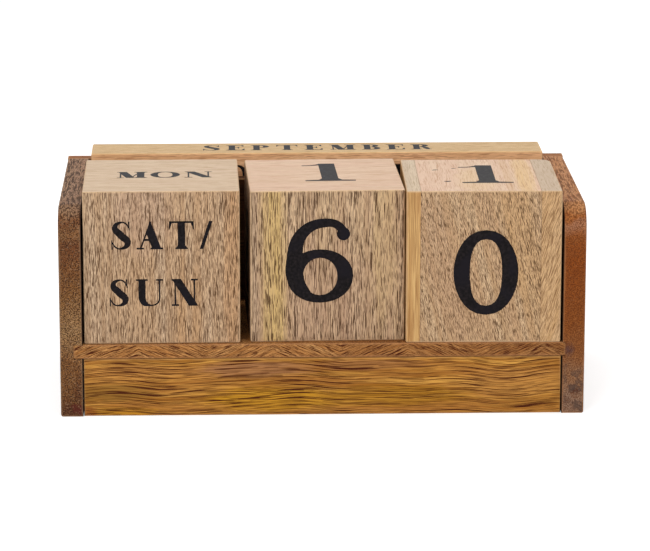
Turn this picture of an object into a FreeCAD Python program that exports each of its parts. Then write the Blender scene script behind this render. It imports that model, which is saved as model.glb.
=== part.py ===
import FreeCAD, Part
import math
import os

# Perpetual desk calendar of hardwood: a tray holds three turning cubes in front
# and a stack of month bars in a slot behind them.
# Millimetres. The origin is the middle of the footprint, +X is the calendar's
# right as it is read, +Y goes back and +Z goes up from the desk.

# Boards of the tray
end_panel_thickness = 8.7
end_panel_corner_radius = 10.0
rail_thickness = 8.0
rail_height = 22.9
rail_setback = 0.5
rail_end_gap = 0.3
shelf_thickness = 5.6
left_housing_depth = 3.5
right_housing_depth = 1.2
divider_thickness = 5.6
divider_end_gap = 0.3
divider_drop = 3.2
back_board_thickness = 6.5

# Cubes: edge lengths, and the glued layers that each one is built from
weekday_edge = 60.2
left_number_edge = 59.7
right_number_edge = 59.9
weekday_front_layer = 7.0
left_number_front_layer = 6.5
right_number_left_layer = 5.4
right_number_right_layer = 7.9
worn_corner_radius = 5.0

# Room round the cubes in their bay
cube_row_play = 5.8
cube_bay_play = 8.8
cube_grip_height = 6.4
cube_side_gap = 0.2
cube_pair_gap = 0.3

# How the cubes were put down: turned by some degrees, and set back from the
# tray's front by the nearest corner
weekday_turn = 0.5
left_number_turn = 1.6
right_number_turn = -0.6
weekday_setback = 1.7
left_number_setback = 3.1
right_number_setback = 0.2

# Month bars and their slot: square bars whose stack ends just below the cubes' tops
bar_stack_drop = 0.2
bar_end_play = 3.2
slot_play = 0.9
top_bar_skew = 0.5
bar_levels = ("bottom", "middle", "top")

# Softened edges
panel_edge_radius = 0.9
board_edge_radius = 0.5
cube_edge_radius = 0.6
bar_edge_radius = 0.7

# Brads that hold the tray together
brad_length = 20.0
brad_shank_radius = 0.65
brad_head_radius = 1.1
brad_head_thickness = 0.6
brad_clearance = 0.05
rail_brad_margin = 6.0
shelf_brad_margin = 14.0
divider_brad_margin = 9.0
back_brad_margin = 12.0
brads_per_rail_end = 2
brads_per_shelf_end = 2
brads_per_divider_end = 2
brads_per_back_side = 3
brads_per_shelf_back = 3

# Sizes that follow from the ones above
tallest_cube = max(weekday_edge, left_number_edge, right_number_edge)
inner_width = weekday_edge + left_number_edge + right_number_edge + cube_row_play
width = inner_width + 2 * end_panel_thickness
shelf_top = rail_height + shelf_thickness
panel_height = shelf_top + tallest_cube - cube_grip_height
bay_depth = tallest_cube + cube_bay_play
bar_section = (tallest_cube - bar_stack_drop) / len(bar_levels)
slot_depth = bar_section + slot_play
depth = rail_setback + bay_depth + divider_thickness + slot_depth + back_board_thickness
bar_length = inner_width - bar_end_play

# Planes across the tray, from the front to the back
front_y = -depth / 2
rail_y = front_y + rail_setback
divider_y = rail_y + bay_depth
slot_y = divider_y + divider_thickness
back_board_y = slot_y + slot_depth
back_y = back_board_y + back_board_thickness
inner_x = inner_width / 2
outer_x = width / 2


def box(low, high):
    """A box between two opposite corners."""
    size = [high[i] - low[i] for i in range(3)]
    return Part.makeBox(size[0], size[1], size[2], FreeCAD.Vector(*low))


def spaced(low, high, count):
    """Evenly spaced places from low to high, or the middle for one place."""
    if count == 1:
        return [(low + high) / 2]
    step = (high - low) / (count - 1)
    return [low + i * step for i in range(count)]


def brad(tip_way, head_place, clearance=0.0):
    """One brad with its head flush at head_place; a clearance makes its hole."""
    place = FreeCAD.Vector(*head_place)
    way = FreeCAD.Vector(*tip_way)
    shank = Part.makeCylinder(brad_shank_radius + clearance, brad_length + clearance, place, way)
    head = Part.makeCylinder(brad_head_radius + clearance, brad_head_thickness + clearance, place, way)
    return shank.fuse(head)


def rail_brad_places():
    middle_y = rail_y + rail_thickness / 2
    heights = spaced(rail_brad_margin, rail_height - rail_brad_margin, brads_per_rail_end)
    return side_brad_places([(middle_y, z) for z in heights])


def shelf_brad_places():
    middle_z = rail_height + shelf_thickness / 2
    rows = spaced(rail_y + shelf_brad_margin, back_board_y - shelf_brad_margin, brads_per_shelf_end)
    return side_brad_places([(y, middle_z) for y in rows])


def divider_brad_places():
    middle_y = divider_y + divider_thickness / 2
    low = shelf_top + divider_brad_margin
    high = panel_height - divider_drop - divider_brad_margin
    return side_brad_places([(middle_y, z) for z in spaced(low, high, brads_per_divider_end)])


def side_brad_places(spots):
    """Brads driven in from both outer sides at the same depths and heights."""
    places = []
    for y, z in spots:
        places.append(((1, 0, 0), (-outer_x, y, z)))
        places.append(((-1, 0, 0), (outer_x, y, z)))
    return places


def back_brad_places():
    """Brads driven forward through the back board, into the end panels and the shelf."""
    side_x = outer_x - end_panel_thickness / 2
    shelf_z = rail_height + shelf_thickness / 2
    reach = inner_x - 2 * back_brad_margin
    places = []
    for z in spaced(back_brad_margin, panel_height - back_brad_margin, brads_per_back_side):
        places.append(((0, -1, 0), (-side_x, back_y, z)))
        places.append(((0, -1, 0), (side_x, back_y, z)))
    for x in spaced(-reach, reach, brads_per_shelf_back):
        places.append(((0, -1, 0), (x, back_y, shelf_z)))
    return places


def brads(places):
    return Part.makeCompound([brad(way, head) for way, head in places])


def drilled(board, places):
    """The board with the holes of the brads that reach it."""
    for way, head in places:
        board = board.cut(brad(way, head, brad_clearance))
    return board.removeSplitter()


def edges_where(shape, test):
    """Edges whose bounding box passes the test."""
    return [edge for edge in shape.Edges if test(edge.BoundBox)]


def flat_at(low, high, value):
    """True where an edge's extent in one direction lies on one plane."""
    return abs(low - value) < 1e-6 and abs(high - value) < 1e-6


def end_panel(side):
    """End panel on side -1 (left) or +1 (right), front top corner rounded."""
    near_x = min(side * inner_x, side * outer_x)
    panel = box((near_x, front_y, 0), (near_x + end_panel_thickness, back_board_y, panel_height))
    top_edges = edges_where(panel, lambda b: flat_at(b.ZMin, b.ZMax, panel_height))
    corner = [edge for edge in top_edges if flat_at(edge.BoundBox.YMin, edge.BoundBox.YMax, front_y)]
    panel = panel.makeFillet(end_panel_corner_radius, corner)
    outer_rim = edges_where(panel, lambda b: flat_at(b.XMin, b.XMax, side * outer_x))
    panel = panel.makeFillet(panel_edge_radius, outer_rim)
    housing_depth = left_housing_depth if side < 0 else right_housing_depth
    low_x = min(side * inner_x, side * (inner_x + housing_depth))
    housing = box((low_x, front_y, rail_height), (low_x + housing_depth, back_board_y, shelf_top))
    panel = panel.cut(housing)
    side_places = rail_brad_places() + shelf_brad_places() + divider_brad_places()
    return drilled(panel, side_places + back_brad_places())


def front_rail():
    half = inner_x - rail_end_gap
    rail = box((-half, rail_y, 0), (half, rail_y + rail_thickness, rail_height))
    rail = rail.makeFillet(board_edge_radius, edges_where(rail, lambda b: flat_at(b.YMin, b.YMax, rail_y)))
    return drilled(rail, rail_brad_places())


def shelf():
    """Shelf that carries the cubes, the divider and the bars, let into the end panels."""
    low = (-inner_x - left_housing_depth, rail_y, rail_height)
    high = (inner_x + right_housing_depth, back_board_y, shelf_top)
    board = box(low, high)
    front = edges_where(board, lambda b: flat_at(b.YMin, b.YMax, rail_y) and b.XLength > shelf_thickness)
    board = board.makeFillet(board_edge_radius, front)
    return drilled(board, shelf_brad_places() + back_brad_places())


def divider():
    half = inner_x - divider_end_gap
    top = panel_height - divider_drop
    board = box((-half, divider_y, shelf_top), (half, slot_y, top))
    board = board.makeFillet(board_edge_radius, edges_where(board, lambda b: flat_at(b.ZMin, b.ZMax, top)))
    return drilled(board, divider_brad_places())


def back_board():
    board = box((-outer_x, back_board_y, 0), (outer_x, back_y, panel_height))
    board = board.makeFillet(panel_edge_radius, edges_where(board, lambda b: flat_at(b.YMin, b.YMax, back_y)))
    return drilled(board, back_brad_places())


def cube_block(edge, worn_radius):
    """A cube standing on z = 0 with softened edges, its back right corner worn if asked."""
    half = edge / 2
    block = box((-half, -half, 0), (half, half, edge))
    if worn_radius > 0:
        worn = edges_where(block, lambda b: flat_at(b.XMin, b.XMax, half) and flat_at(b.YMin, b.YMax, half))
        block = block.makeFillet(worn_radius, worn)
    sharp = edges_where(block, lambda b: not bounds_worn_corner(b, edge, worn_radius))
    return block.makeFillet(cube_edge_radius, sharp)


def bounds_worn_corner(b, edge, worn_radius):
    """True for the upright lines where a worn corner runs smoothly into its two sides."""
    limit = edge / 2 - worn_radius - 1e-6
    return worn_radius > 0 and b.ZLength > edge / 2 and b.XMin > limit and b.YMin > limit


def half_span(edge, turn):
    """Half the room, left to right or front to back, that a turned cube takes up."""
    angle = math.radians(abs(turn))
    return edge / 2 * (math.cos(angle) + math.sin(angle))


def cube_centres():
    """Centre of each cube's footprint: the outer two near the end panels, the left
    number cube up against the right one, the rest of the play left of it."""
    weekday_half = half_span(weekday_edge, weekday_turn)
    left_half = half_span(left_number_edge, left_number_turn)
    right_half = half_span(right_number_edge, right_number_turn)
    weekday_x = -inner_x + cube_side_gap + weekday_half
    right_x = inner_x - cube_side_gap - right_half
    left_x = right_x - right_half - cube_pair_gap - left_half
    return {
        "weekday": (weekday_x, front_y + weekday_setback + weekday_half),
        "left_number": (left_x, front_y + left_number_setback + left_half),
        "right_number": (right_x, front_y + right_number_setback + right_half),
    }


def placed_cube_piece(piece, centre, turn):
    """A piece of a cube, turned about the cube's upright axis and put on the shelf."""
    piece = piece.copy()
    piece.rotate(FreeCAD.Vector(0, 0, 0), FreeCAD.Vector(0, 0, 1), turn)
    piece.translate(FreeCAD.Vector(centre[0], centre[1], shelf_top))
    return piece


def front_layered_cube(edge, layer, centre, turn):
    """Core and front layer of a cube whose glue joint lies behind its front face."""
    block = cube_block(edge, 0)
    half = edge / 2
    joint_y = -half + layer
    front = block.common(box((-half, -half, 0), (half, joint_y, edge)))
    core = block.common(box((-half, joint_y, 0), (half, half, edge)))
    return placed_cube_piece(core, centre, turn), placed_cube_piece(front, centre, turn)


def side_layered_cube(edge, left_layer, right_layer, centre, turn):
    """Core, left layer and right layer of a cube glued up side by side."""
    block = cube_block(edge, worn_corner_radius)
    half = edge / 2
    left_joint = -half + left_layer
    right_joint = half - right_layer
    left = block.common(box((-half, -half, 0), (left_joint, half, edge)))
    core = block.common(box((left_joint, -half, 0), (right_joint, half, edge)))
    right = block.common(box((right_joint, -half, 0), (half, half, edge)))
    return tuple(placed_cube_piece(piece, centre, turn) for piece in (core, left, right))


def month_bar(level, skew):
    """Month bar at a level of the stack, one end lying in front of the other by the skew."""
    half = bar_section / 2
    bar = box((-bar_length / 2, -half, 0), (bar_length / 2, half, bar_section))
    bar = bar.makeFillet(bar_edge_radius, bar.Edges)
    bar.rotate(FreeCAD.Vector(0, 0, 0), FreeCAD.Vector(0, 0, 1), math.degrees(math.asin(skew / bar_length)))
    bar.translate(FreeCAD.Vector(0, slot_y + slot_depth / 2, shelf_top + level * bar_section))
    return bar


def pieces():
    """Every piece of the calendar by name."""
    centres = cube_centres()
    weekday_core, weekday_front = front_layered_cube(
        weekday_edge, weekday_front_layer, centres["weekday"], weekday_turn)
    left_core, left_front = front_layered_cube(
        left_number_edge, left_number_front_layer, centres["left_number"], left_number_turn)
    right_core, right_left, right_right = side_layered_cube(
        right_number_edge, right_number_left_layer, right_number_right_layer,
        centres["right_number"], right_number_turn)
    named = {
        "left_end_panel": end_panel(-1),
        "right_end_panel": end_panel(1),
        "front_rail": front_rail(),
        "shelf": shelf(),
        "divider": divider(),
        "back_board": back_board(),
        "weekday_cube_core": weekday_core,
        "weekday_cube_front_layer": weekday_front,
        "left_number_cube_core": left_core,
        "left_number_cube_front_layer": left_front,
        "right_number_cube_core": right_core,
        "right_number_cube_left_layer": right_left,
        "right_number_cube_right_layer": right_right,
        "rail_brads": brads(rail_brad_places()),
        "shelf_brads": brads(shelf_brad_places()),
        "divider_brads": brads(divider_brad_places()),
        "back_board_brads": brads(back_brad_places()),
    }
    for level, place in enumerate(bar_levels):
        skew = top_bar_skew if place == "top" else 0.0
        named[place + "_month_bar"] = month_bar(level, skew)
    return named


os.makedirs("parts", exist_ok=True)
for name, shape in pieces().items():
    shape.exportStep("parts/" + name + ".step")
overall_height = shelf_top + tallest_cube
print("calendar", round(width, 2), "x", round(depth, 2), "x", round(overall_height, 2), "mm")
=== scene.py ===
# %% [markdown]
# # A perpetual desk calendar
# A hardwood tray holds three cubes that are turned by hand to show the weekday and
# the date, and three square bars that carry the months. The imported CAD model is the
# fixed frame: its boards, cubes, bars and brads stay as they are and get their
# finish here. What Blender adds is the printed lettering, the woods, the light and
# the camera.

import math

import bpy
from mathutils import Matrix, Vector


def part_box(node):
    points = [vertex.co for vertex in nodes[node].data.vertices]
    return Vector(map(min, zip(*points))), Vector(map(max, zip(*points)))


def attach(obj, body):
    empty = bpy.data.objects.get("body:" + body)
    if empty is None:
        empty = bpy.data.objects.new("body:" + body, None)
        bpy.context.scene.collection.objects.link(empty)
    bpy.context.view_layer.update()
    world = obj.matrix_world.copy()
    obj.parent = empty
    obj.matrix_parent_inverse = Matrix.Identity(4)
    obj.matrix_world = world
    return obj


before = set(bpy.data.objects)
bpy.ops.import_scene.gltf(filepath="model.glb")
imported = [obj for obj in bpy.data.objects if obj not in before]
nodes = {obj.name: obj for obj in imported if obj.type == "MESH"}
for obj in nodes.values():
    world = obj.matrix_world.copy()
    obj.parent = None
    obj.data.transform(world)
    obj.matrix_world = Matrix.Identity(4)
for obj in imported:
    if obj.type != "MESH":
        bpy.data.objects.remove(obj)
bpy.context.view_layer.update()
bpy.ops.object.select_all(action="DESELECT")

# %% [markdown]
# ## The camera
# The photograph was taken from a little above, with a long lens: the upright edges
# hardly lean and the tops are seen very flat. A distance of 1.4 m and a lens of
# 188 mm give that. The camera stands where the edges of the boards and cubes fall on
# the same places as in the picture.

# %% Camera
mm = 0.001
frame_width_px = 650
focal_px = 3400
sensor_width = 36.0
camera_place = (-38.8 * mm, -1321.3 * mm, 363.0 * mm)
camera_yaw = -0.03116
camera_pitch = 0.23735
camera_roll = 0.00091

camera_turn = (
    Matrix.Rotation(camera_yaw, 4, "Z")
    @ Matrix.Rotation(math.pi / 2 - camera_pitch, 4, "X")
    @ Matrix.Rotation(camera_roll, 4, "Z")
)
bpy.ops.object.camera_add(location=camera_place, rotation=camera_turn.to_euler())
camera = bpy.context.object
camera.name = "photo_camera"
camera.data.sensor_width = sensor_width
camera.data.lens = focal_px / frame_width_px * sensor_width
bpy.context.scene.camera = camera
bpy.context.scene.view_settings.view_transform = "Standard"
print("lens", round(camera.data.lens, 1), "mm")

# %% [markdown]
# ## Helpers for shader trees
# A finish is a small tree of nodes. Each node takes numbers, colours or the outputs
# of other nodes, so one helper that adds a node and fills its inputs keeps every
# later cell short. Colours are given as read in a paint program, 0 to 255, and
# turned into the linear values that the shader works with.

# %% Node helpers
def colour(red, green, blue):
    """A paint colour, 0 to 255, as the linear colour of a shader socket."""
    linear = []
    for part in (red, green, blue):
        share = part / 255
        linear.append(share / 12.92 if share <= 0.04045 else ((share + 0.055) / 1.055) ** 2.4)
    return (*linear, 1.0)


def put(tree, kind, inputs=None, **settings):
    """Adds a shader node and fills its inputs with values or with other nodes' outputs."""
    node = tree.nodes.new("ShaderNode" + kind)
    for name, value in settings.items():
        setattr(node, name, value)
    for socket, value in (inputs or {}).items():
        if isinstance(value, bpy.types.NodeSocket):
            tree.links.new(value, node.inputs[socket])
        else:
            node.inputs[socket].default_value = value
    return node


def reckon(tree, operation, *values):
    """The result of a Math node."""
    return put(tree, "Math", dict(enumerate(values)), operation=operation).outputs[0]


def times(tree, first, second):
    return reckon(tree, "MULTIPLY", first, second)


def plus(tree, first, second):
    return reckon(tree, "ADD", first, second)


def minus(tree, first, second):
    return reckon(tree, "SUBTRACT", first, second)


def reckon_vector(tree, operation, *values):
    """The result of a Vector Math node."""
    return put(tree, "VectorMath", dict(enumerate(values)), operation=operation).outputs[0]


def rise(tree, value, low, high):
    """0 below low and 1 above high, with a smooth slope between them."""
    inputs = {"Value": value, "From Min": low, "From Max": high}
    return put(tree, "MapRange", inputs, interpolation_type="SMOOTHSTEP").outputs["Result"]


def blend(tree, share, first, second, way="MIX"):
    """Two colours mixed by a share from 0 to 1."""
    return put(tree, "Mix", {0: share, 6: first, 7: second}, data_type="RGBA", blend_type=way).outputs[2]


def split(tree, vector):
    """The x, y and z of a vector."""
    return put(tree, "SeparateXYZ", {0: vector}).outputs


def noise(tree, vector, scale, detail):
    """Noise from 0 to 1, finer with a higher scale."""
    return put(tree, "TexNoise", {"Vector": vector, "Scale": scale, "Detail": detail}).outputs["Fac"]


def start_group(name, inputs, outputs):
    """An empty shader group with its named inputs and their first values, and its outputs."""
    tree = bpy.data.node_groups.new(name, "ShaderNodeTree")
    for socket, value in inputs.items():
        kind = "NodeSocketFloat" if isinstance(value, float) else "NodeSocketVector"
        made = tree.interface.new_socket(name=socket, in_out="INPUT", socket_type=kind)
        made.default_value = value
    for socket in outputs:
        tree.interface.new_socket(name=socket, in_out="OUTPUT", socket_type="NodeSocketFloat")
    given = tree.nodes.new("NodeGroupInput").outputs
    result = tree.nodes.new("NodeGroupOutput").inputs
    return tree, given, result


# %% [markdown]
# ## Wood grain
# The calendar is of a coarse-pored hardwood. Its look comes from vessels, thin tubes
# along the trunk that show as short dark dashes on a long face and as dots on an end.
# A solid texture gives both: noise is stretched along the fibres, and each face just
# cuts through it. The same group also gives broad growth bands, fine fibres and a
# slow drift of colour. The fibres wander a little, as they do round a branch, but
# hardly in depth, because that would cut the long dashes short. Where the bands are
# light, the pores crowd.

# %% Grain group
grain, given, result = start_group(
    "hardwood_grain",
    {
        "Vector": (0.0, 0.0, 0.0),
        "Pore Width": 0.4 * mm,
        "Pore Length": 4.0 * mm,
        "Pore Level": 0.56,
        "Band Width": 4.0 * mm,
        "Band Length": 70.0 * mm,
        "Wander": 2.0 * mm,
        "Wander Length": 40.0 * mm,
    },
    ["Bands", "Drift", "Fibres", "Pores", "Height"],
)
stretch = reckon(grain, "DIVIDE", 1.0, given["Wander Length"])
bend_noise = put(grain, "TexNoise", {"Vector": given["Vector"], "Scale": stretch, "Detail": 1.0})
bend = reckon_vector(grain, "SUBTRACT", bend_noise.outputs["Color"], (0.5, 0.5, 0.5))
depth_share = 0.15
into_depth = times(grain, given["Wander"], depth_share)
bend_reach = put(grain, "CombineXYZ", {0: given["Wander"], 1: into_depth, 2: 0.0})
along_fibres = reckon_vector(
    grain, "ADD", given["Vector"], reckon_vector(grain, "MULTIPLY", bend, bend_reach.outputs[0]))


def stretched_noise(tree, vector, width, length, detail, shift):
    """Noise in cells of the given width across the fibres and length along them."""
    cell = put(tree, "CombineXYZ", {0: width, 1: width, 2: length})
    scaled = reckon_vector(tree, "DIVIDE", vector, cell.outputs[0])
    moved = reckon_vector(tree, "ADD", scaled, (shift, shift, shift))
    return noise(tree, moved, 1.0, detail)


bands = stretched_noise(grain, along_fibres, given["Band Width"], given["Band Length"], 2.0, 3.7)
drift_width = times(grain, given["Band Width"], 3.0)
drift = stretched_noise(grain, along_fibres, drift_width, given["Band Length"], 1.0, 11.3)
fibre_width = times(grain, given["Pore Width"], 1.2)
fibre_length = times(grain, given["Pore Length"], 6.0)
fibres = stretched_noise(grain, along_fibres, fibre_width, fibre_length, 2.0, 5.1)
pore_cell = times(grain, given["Pore Width"], 1.25)
pore_run = times(grain, given["Pore Length"], 1.5)
crowding_share = 0.16
pore_rim = 0.06
fine_pore_share = 0.6
crowding = times(grain, minus(grain, bands, 0.5), crowding_share)
pore_start = plus(grain, given["Pore Level"], crowding)
pore_full = plus(grain, pore_start, pore_rim)
wide_noise = stretched_noise(grain, along_fibres, pore_cell, pore_run, 1.0, 8.9)
wide_pores = rise(grain, wide_noise, pore_start, pore_full)
fine_cell = times(grain, given["Pore Width"], 0.8)
fine_run = times(grain, given["Pore Length"], 0.6)
fine_noise = stretched_noise(grain, along_fibres, fine_cell, fine_run, 0.0, 21.7)
fine_pores = rise(grain, fine_noise, pore_start, pore_full)
pores = reckon(grain, "MAXIMUM", wide_pores, times(grain, fine_pores, fine_pore_share))
relief = minus(grain, times(grain, fibres, 0.5), pores)
grain.links.new(rise(grain, bands, 0.34, 0.66), result["Bands"])
grain.links.new(rise(grain, drift, 0.36, 0.64), result["Drift"])
grain.links.new(rise(grain, fibres, 0.32, 0.68), result["Fibres"])
grain.links.new(pores, result["Pores"])
grain.links.new(relief, result["Height"])
print("grain group", len(grain.nodes), "nodes")

# %% [markdown]
# ## Worn edges
# Hands and sandpaper wear a block most along its edges. For a block, the distance to
# the nearest edge is the second smallest of the distances to its three pairs of
# faces: the smallest is the depth below the face itself, which is nothing on the
# surface. So the wear needs only the block's half size.

# %% Edge group
edge_wear, given, result = start_group(
    "edge_wear", {"Vector": (0.0, 0.0, 0.0), "Half Size": (0.03, 0.03, 0.03), "Reach": 1.0 * mm}, ["Wear"])
inside = reckon_vector(
    edge_wear, "SUBTRACT", given["Half Size"], reckon_vector(edge_wear, "ABSOLUTE", given["Vector"]))
depth = split(edge_wear, inside)
nearer = reckon(edge_wear, "MINIMUM", depth[0], depth[1])
farther = reckon(edge_wear, "MAXIMUM", depth[0], depth[1])
to_edge = reckon(edge_wear, "MAXIMUM", nearer, reckon(edge_wear, "MINIMUM", farther, depth[2]))
patches = times(edge_wear, noise(edge_wear, given["Vector"], 180.0, 2.0), 2.0)
reach = times(edge_wear, given["Reach"], patches)
wear = minus(edge_wear, 1.0, rise(edge_wear, to_edge, 0.0, reach))
edge_wear.links.new(wear, result["Wear"])
print("edge group", len(edge_wear.nodes), "nodes")

# %% [markdown]
# ## Ragged patches
# Some zones of a board are yellower, pinker or darker than the rest. A patch is a soft
# ellipsoid round a place; noise stretched along the board makes its rim ragged, so it
# ends along the fibres and not in a clean curve.

# %% Patch group
ragged_patch, given, result = start_group(
    "ragged_patch",
    {"Vector": (0.0, 0.0, 0.0), "Centre": (0.0, 0.0, 0.0), "Size": (0.01, 0.01, 0.01)},
    ["Patch"],
)
from_centre = reckon_vector(ragged_patch, "SUBTRACT", given["Vector"], given["Centre"])
in_sizes = reckon_vector(ragged_patch, "DIVIDE", from_centre, given["Size"])
far = put(ragged_patch, "VectorMath", {0: in_sizes}, operation="LENGTH").outputs["Value"]
rim = noise(ragged_patch, in_sizes, 3.0, 3.0)
ragged = plus(ragged_patch, far, times(ragged_patch, rim, 0.9))
patch = minus(ragged_patch, 1.0, rise(ragged_patch, ragged, 0.9, 1.6))
ragged_patch.links.new(patch, result["Patch"])
print("patch group", len(ragged_patch.nodes), "nodes")

# %% [markdown]
# ## One recipe for every board
# All the wooden pieces are made the same way: the object coordinates are moved to the
# middle of the piece and turned so that z runs along its fibres, the grain group
# cuts its pattern there, and the colours are laid over each other from the broad
# bands to the fine pores. What differs is a short list of tones and sizes for each
# piece, as for boards that come from different planks. Worn edges turn paler, and
# joints are laid over them as thin dark lines; on the month bars such a line is a
# painted shadow in the crack between stacked bars.

# %% Wood recipe
along_x = (0.0, math.pi / 2, 0.0)
along_y = (math.pi / 2, 0.0, 0.0)
along_z = (0.0, 0.0, 0.0)
wear_reach = 0.9 * mm
wear_share = 0.6
wood_specular = 0.12


def plank(pale, deep, drift, drift_share, pore, pore_share):
    """The tones of a wood: its two bands, a slow drift of colour and its pores."""
    return {
        "pale": colour(*pale), "deep": colour(*deep), "drift": colour(*drift), "drift_share": drift_share,
        "pore": colour(*pore), "pore_share": pore_share,
    }


def cut_of(pore_width, pore_length, pore_level, band_width, band_length, wander, wander_length):
    """The sizes of a wood's pattern in millimetres; a higher pore level leaves fewer pores."""
    return {
        "Pore Width": pore_width * mm, "Pore Length": pore_length * mm, "Pore Level": pore_level,
        "Band Width": band_width * mm, "Band Length": band_length * mm,
        "Wander": wander * mm, "Wander Length": wander_length * mm,
    }


def turn_back(tree, vector, turn):
    """A vector turned back by a turn."""
    settings = {"Vector": vector, "Rotation": turn}
    return put(tree, "Mapping", settings, vector_type="TEXTURE").outputs[0]


def place_in(tree, place, turn):
    """Object coordinates measured from a place and turned back by a turn."""
    where = put(tree, "TexCoord")
    settings = {"Vector": where.outputs["Object"], "Location": place, "Rotation": turn}
    return put(tree, "Mapping", settings, vector_type="TEXTURE").outputs[0]


def patch_of(tree, vector, centre, size, share):
    """A patch round a centre, both in millimetres, at its full share inside."""
    inputs = {"Vector": vector, "Centre": [v * mm for v in centre], "Size": [v * mm for v in size]}
    mask = put(tree, "Group", inputs, node_tree=ragged_patch).outputs["Patch"]
    return times(tree, mask, share)


def stains_of(tree, vector, zones):
    """The share and the tone of each zone: its centre, size and share, then its tone."""
    return [(patch_of(tree, vector, *zone), tone) for *zone, tone in zones]


def grain_colour(tree, vector, tones, cut, stains=()):
    """The colour and the height of a cut through a wood, with stains under its pores."""
    pattern = put(tree, "Group", {"Vector": vector, **cut}, node_tree=grain)
    surface = blend(tree, pattern.outputs["Bands"], tones["pale"], tones["deep"])
    drifted = times(tree, pattern.outputs["Drift"], tones["drift_share"])
    surface = blend(tree, drifted, surface, tones["drift"])
    for share, tone in stains:
        surface = blend(tree, share, surface, tone)
    surface = blend(tree, times(tree, pattern.outputs["Fibres"], 0.35), surface, tones["deep"])
    pored = times(tree, pattern.outputs["Pores"], tones["pore_share"])
    surface = blend(tree, pored, surface, tones["pore"])
    return surface, pattern.outputs["Height"]


def start_material(name):
    """An empty material: its tree and its Principled shader."""
    material = bpy.data.materials.new(name)
    material.use_nodes = True
    tree = material.node_tree
    return material, tree, tree.nodes["Principled BSDF"]


def finish_wood(tree, shader, surface, height, local, half, edge_tone, shine=0.5, joints=()):
    """Edge wear, dark lines at glue joints and other joints, roughness and bump that every piece of wood
    gets at the end; on the month bars the line is a painted shadow in the crack between bars.
    """
    worn = put(tree, "Group", {"Vector": local, "Half Size": half, "Reach": wear_reach}, node_tree=edge_wear)
    surface = blend(tree, times(tree, worn.outputs["Wear"], wear_share), surface, edge_tone)
    for axis, place, share, tone in joints:
        away = reckon(tree, "ABSOLUTE", minus(tree, split(tree, local)[axis], place))
        line = minus(tree, 1.0, rise(tree, away, 0.1 * mm, 0.4 * mm))
        surface = blend(tree, times(tree, line, share), surface, tone)
    tree.links.new(surface, shader.inputs["Base Color"])
    dull = minus(tree, shine + 0.08, times(tree, height, 0.16))
    tree.links.new(dull, shader.inputs["Roughness"])
    shader.inputs["Specular IOR Level"].default_value = wood_specular
    bump = put(tree, "Bump", {"Strength": 0.35, "Distance": 0.12 * mm, "Height": height})
    tree.links.new(bump.outputs[0], shader.inputs["Normal"])


def dress(node, material):
    """Gives a CAD node its material."""
    slots = nodes[node].data.materials
    slots.clear()
    slots.append(material)


def middle_and_half(*names):
    """The middle and the half size of the box round some CAD nodes."""
    boxes = [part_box(name) for name in names]
    low = [min(box[0][i] for box in boxes) for i in range(3)]
    high = [max(box[1][i] for box in boxes) for i in range(3)]
    middle = tuple((a + b) / 2 for a, b in zip(low, high))
    half = tuple((b - a) / 2 for a, b in zip(low, high))
    return middle, half


# %% [markdown]
# ## Front rail
# The rail is the yellowest board: golden brown, with long dark streaks from end to
# end, yellower and browner zones and a pinkish cast near its upper edge. Dark lines
# mark where it meets the end panels and the shelf.

# %% Rail
golden = plank((218, 160, 74), (152, 96, 30), (186, 126, 58), 0.7, (70, 26, 2), 1.0)
rail_cut = cut_of(0.23, 15.0, 0.55, 1.5, 45.0, 9.0, 50.0)
# centre, size and share of each zone, seen from the rail's middle in millimetres, and its tone
rail_zones = (
    ((-20.0, 0.0, -5.0), (32.0, 40.0, 5.5), 0.85, colour(206, 150, 34)),
    ((28.0, 0.0, -4.0), (34.0, 40.0, 5.0), 0.75, colour(178, 126, 30)),
    ((-82.0, 0.0, -2.0), (20.0, 40.0, 4.5), 0.75, colour(140, 102, 40)),
    ((-78.0, 0.0, -10.0), (16.0, 40.0, 2.4), 0.7, colour(206, 146, 36)),
    ((-92.0, 0.0, -10.0), (5.0, 40.0, 3.0), 0.6, colour(150, 60, 20)),
    ((-27.0, 0.0, 7.0), (26.0, 40.0, 4.0), 0.75, colour(164, 116, 80)),
    ((16.0, 0.0, 8.5), (26.0, 40.0, 2.6), 0.6, colour(152, 104, 66)),
    ((74.0, 0.0, 1.0), (26.0, 40.0, 7.0), 0.6, colour(206, 148, 76)),
    ((-76.0, 0.0, 6.0), (22.0, 40.0, 4.0), 0.5, colour(206, 146, 74)),
)
rail_middle, rail_half = middle_and_half("front_rail")
rail_wood, tree, shader = start_material("golden_rail_wood")
local = place_in(tree, rail_middle, along_z)
stains = stains_of(tree, local, rail_zones)
surface, height = grain_colour(tree, place_in(tree, rail_middle, along_x), golden, rail_cut, stains)
joint_shadow = colour(34, 16, 6)
# axis, place, share and tone of each line
rail_edges = [
    (0, rail_half[0], 0.9, joint_shadow),
    (0, -rail_half[0], 0.9, joint_shadow),
    (2, rail_half[2], 0.5, joint_shadow),
]
finish_wood(tree, shader, surface, height, local, rail_half, colour(190, 142, 86), joints=rail_edges)
dress("front_rail", rail_wood)
print("rail", [round(2 * h / mm, 1) for h in rail_half], "mm")

# %% [markdown]
# ## Shelf
# Only the front edge of the shelf shows. Its fibres are interlocked: they lean one
# way and then the other, so the flecks make a low zigzag. Folding the coordinate
# along the board, as a ping-pong does, leans them by turns. The right half is darker.

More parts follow.
